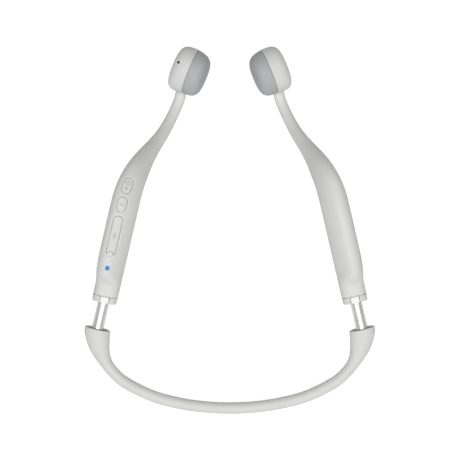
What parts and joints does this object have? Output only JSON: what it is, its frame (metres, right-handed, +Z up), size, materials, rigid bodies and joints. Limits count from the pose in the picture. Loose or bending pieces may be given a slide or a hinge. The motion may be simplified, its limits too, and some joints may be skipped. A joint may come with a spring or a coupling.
{
  "type": "bone conduction headphones",
  "caption": "Behind-the-head wireless bone conduction headphones: silicone neckband, steel sizing rods, control and battery housings, ear hooks and cheek pods, lying with the buttons up.",
  "frame": {"origin": "middle of the outline at the height of the table, on which it lies with its buttons up, as worn upside down", "axes": "+X is the wearer's left, +Y points from the neckband to the pods, +Z is up from the table"},
  "size_m": [0.1314, 0.1678, 0.0293],
  "materials": {
    "shell_grey": "warm light grey soft-touch plastic, fine matte grain",
    "silicone_grey": "warm light grey silicone, matte",
    "pad_grey": "dark grey silicone, matte",
    "rod_steel": "polished stainless steel",
    "guide_white": "white acetal, slight gloss",
    "seal_black": "black rubber",
    "spring_alloy": "drawn spring alloy wire",
    "cable_jacket": "black cable jacket",
    "plated_steel": "plated stamped steel",
    "magnet_nickel": "nickel-plated magnet and yoke",
    "coil_copper": "enamelled copper winding",
    "board_green": "green solder mask on a board",
    "chassis_black": "black moulded plastic",
    "battery_foil": "aluminium pouch foil",
    "led_blue": "clear blue light pipe",
    "mesh_black": "black acoustic mesh"
  },
  "bodies": {
    "band": {"neckband_cover": "silicone_grey", "band_spring_wire": "spring_alloy", "band_cable": "cable_jacket"},
    "left_sleeve": {"left_band_sleeve": "silicone_grey", "left_rod_seal": "seal_black", "left_slide_rod": "rod_steel", "left_rod_stop": "plated_steel"},
    "left_arm": {"left_end_cap": "shell_grey", "left_slide_guide": "guide_white", "left_housing_face_shell": "shell_grey", "left_housing_back_shell": "shell_grey", "left_ear_hook": "silicone_grey", "left_hook_wire": "spring_alloy", "left_hook_lead": "cable_jacket", "left_pod_shell": "shell_grey", "left_contact_pad": "pad_grey", "left_transducer_frame": "plated_steel", "left_voice_coil": "coil_copper", "left_spring_plate": "plated_steel", "left_contact_plate": "plated_steel", "battery": "battery_foil", "battery_board": "board_green"},
    "left_driver": {"left_transducer_magnet": "magnet_nickel"},
    "right_sleeve": {"right_band_sleeve": "silicone_grey", "right_rod_seal": "seal_black", "right_slide_rod": "rod_steel", "right_rod_stop": "plated_steel"},
    "right_arm": {"right_end_cap": "shell_grey", "right_slide_guide": "guide_white", "right_housing_face_shell": "shell_grey", "right_housing_back_shell": "shell_grey", "right_ear_hook": "silicone_grey", "right_hook_wire": "spring_alloy", "right_hook_lead": "cable_jacket", "right_pod_shell": "shell_grey", "right_contact_pad": "pad_grey", "right_transducer_frame": "plated_steel", "right_voice_coil": "coil_copper", "right_spring_plate": "plated_steel", "right_contact_plate": "plated_steel", "power_switch": "plated_steel", "volume_down_switch": "plated_steel", "charge_cover_anchor": "silicone_grey", "port_frame": "chassis_black", "usb_port": "plated_steel", "usb_tongue": "chassis_black", "main_board": "board_green", "radio_module": "plated_steel", "board_tray": "chassis_black", "status_led_lens": "led_blue", "status_led_board": "board_green", "microphone": "plated_steel", "mic_mesh": "mesh_black"},
    "right_driver": {"right_transducer_magnet": "magnet_nickel"},
    "power_button": {"power_button": "silicone_grey"},
    "volume_down_button": {"volume_down_button": "silicone_grey"},
    "charge_cover": {"charge_cover": "silicone_grey"}
  },
  "joints": [
    {"name": "left_band_flex", "type": "hinge", "parent": "band", "child": "left_sleeve", "pos_m": [0.0522, -0.06595, 0.00596], "axis": [0, 0.2065, -0.9784], "range_deg": [-3, 22], "stiffness_Nm_per_rad": 0.6, "deforming": ["band_spring_wire", "band_cable"]},
    {"name": "left_size_slide", "type": "slide", "parent": "left_sleeve", "child": "left_arm", "axis": [0.2267, -0.953, -0.2012], "range_m": [0, 0.0115]},
    {"name": "left_driver_vibration", "type": "slide", "parent": "left_arm", "child": "left_driver", "axis": [-0.9209, -0.3898, -0.0003], "range_m": [-0.00015, 0.00015], "stiffness_N_per_m": 2500},
    {"name": "right_band_flex", "type": "hinge", "parent": "band", "child": "right_sleeve", "pos_m": [-0.0522, -0.06595, 0.00596], "axis": [0, -0.2065, 0.9784], "range_deg": [-3, 22], "stiffness_Nm_per_rad": 0.6, "deforming": ["band_spring_wire", "band_cable"]},
    {"name": "right_size_slide", "type": "slide", "parent": "right_sleeve", "child": "right_arm", "axis": [-0.2267, -0.953, -0.2012], "range_m": [0, 0.0115]},
    {"name": "right_driver_vibration", "type": "slide", "parent": "right_arm", "child": "right_driver", "axis": [0.9209, -0.3898, -0.0003], "range_m": [-0.00015, 0.00015], "stiffness_N_per_m": 2500},
    {"name": "power_press", "type": "slide", "parent": "right_arm", "child": "power_button", "axis": [-0.0665, -0.082, -0.9944], "range_m": [0, 0.0004], "stiffness_N_per_m": 500},
    {"name": "volume_down_press", "type": "slide", "parent": "right_arm", "child": "volume_down_button", "axis": [-0.0211, 0.1169, -0.9929], "range_m": [0, 0.0004], "stiffness_N_per_m": 500},
    {"name": "charge_cover_hinge", "type": "hinge", "parent": "right_arm", "child": "charge_cover", "pos_m": [-0.04986, 0.00043, 0.02733], "axis": [-0.9732, 0.2248, 0.0475], "range_deg": [0, 95]}
  ]
}
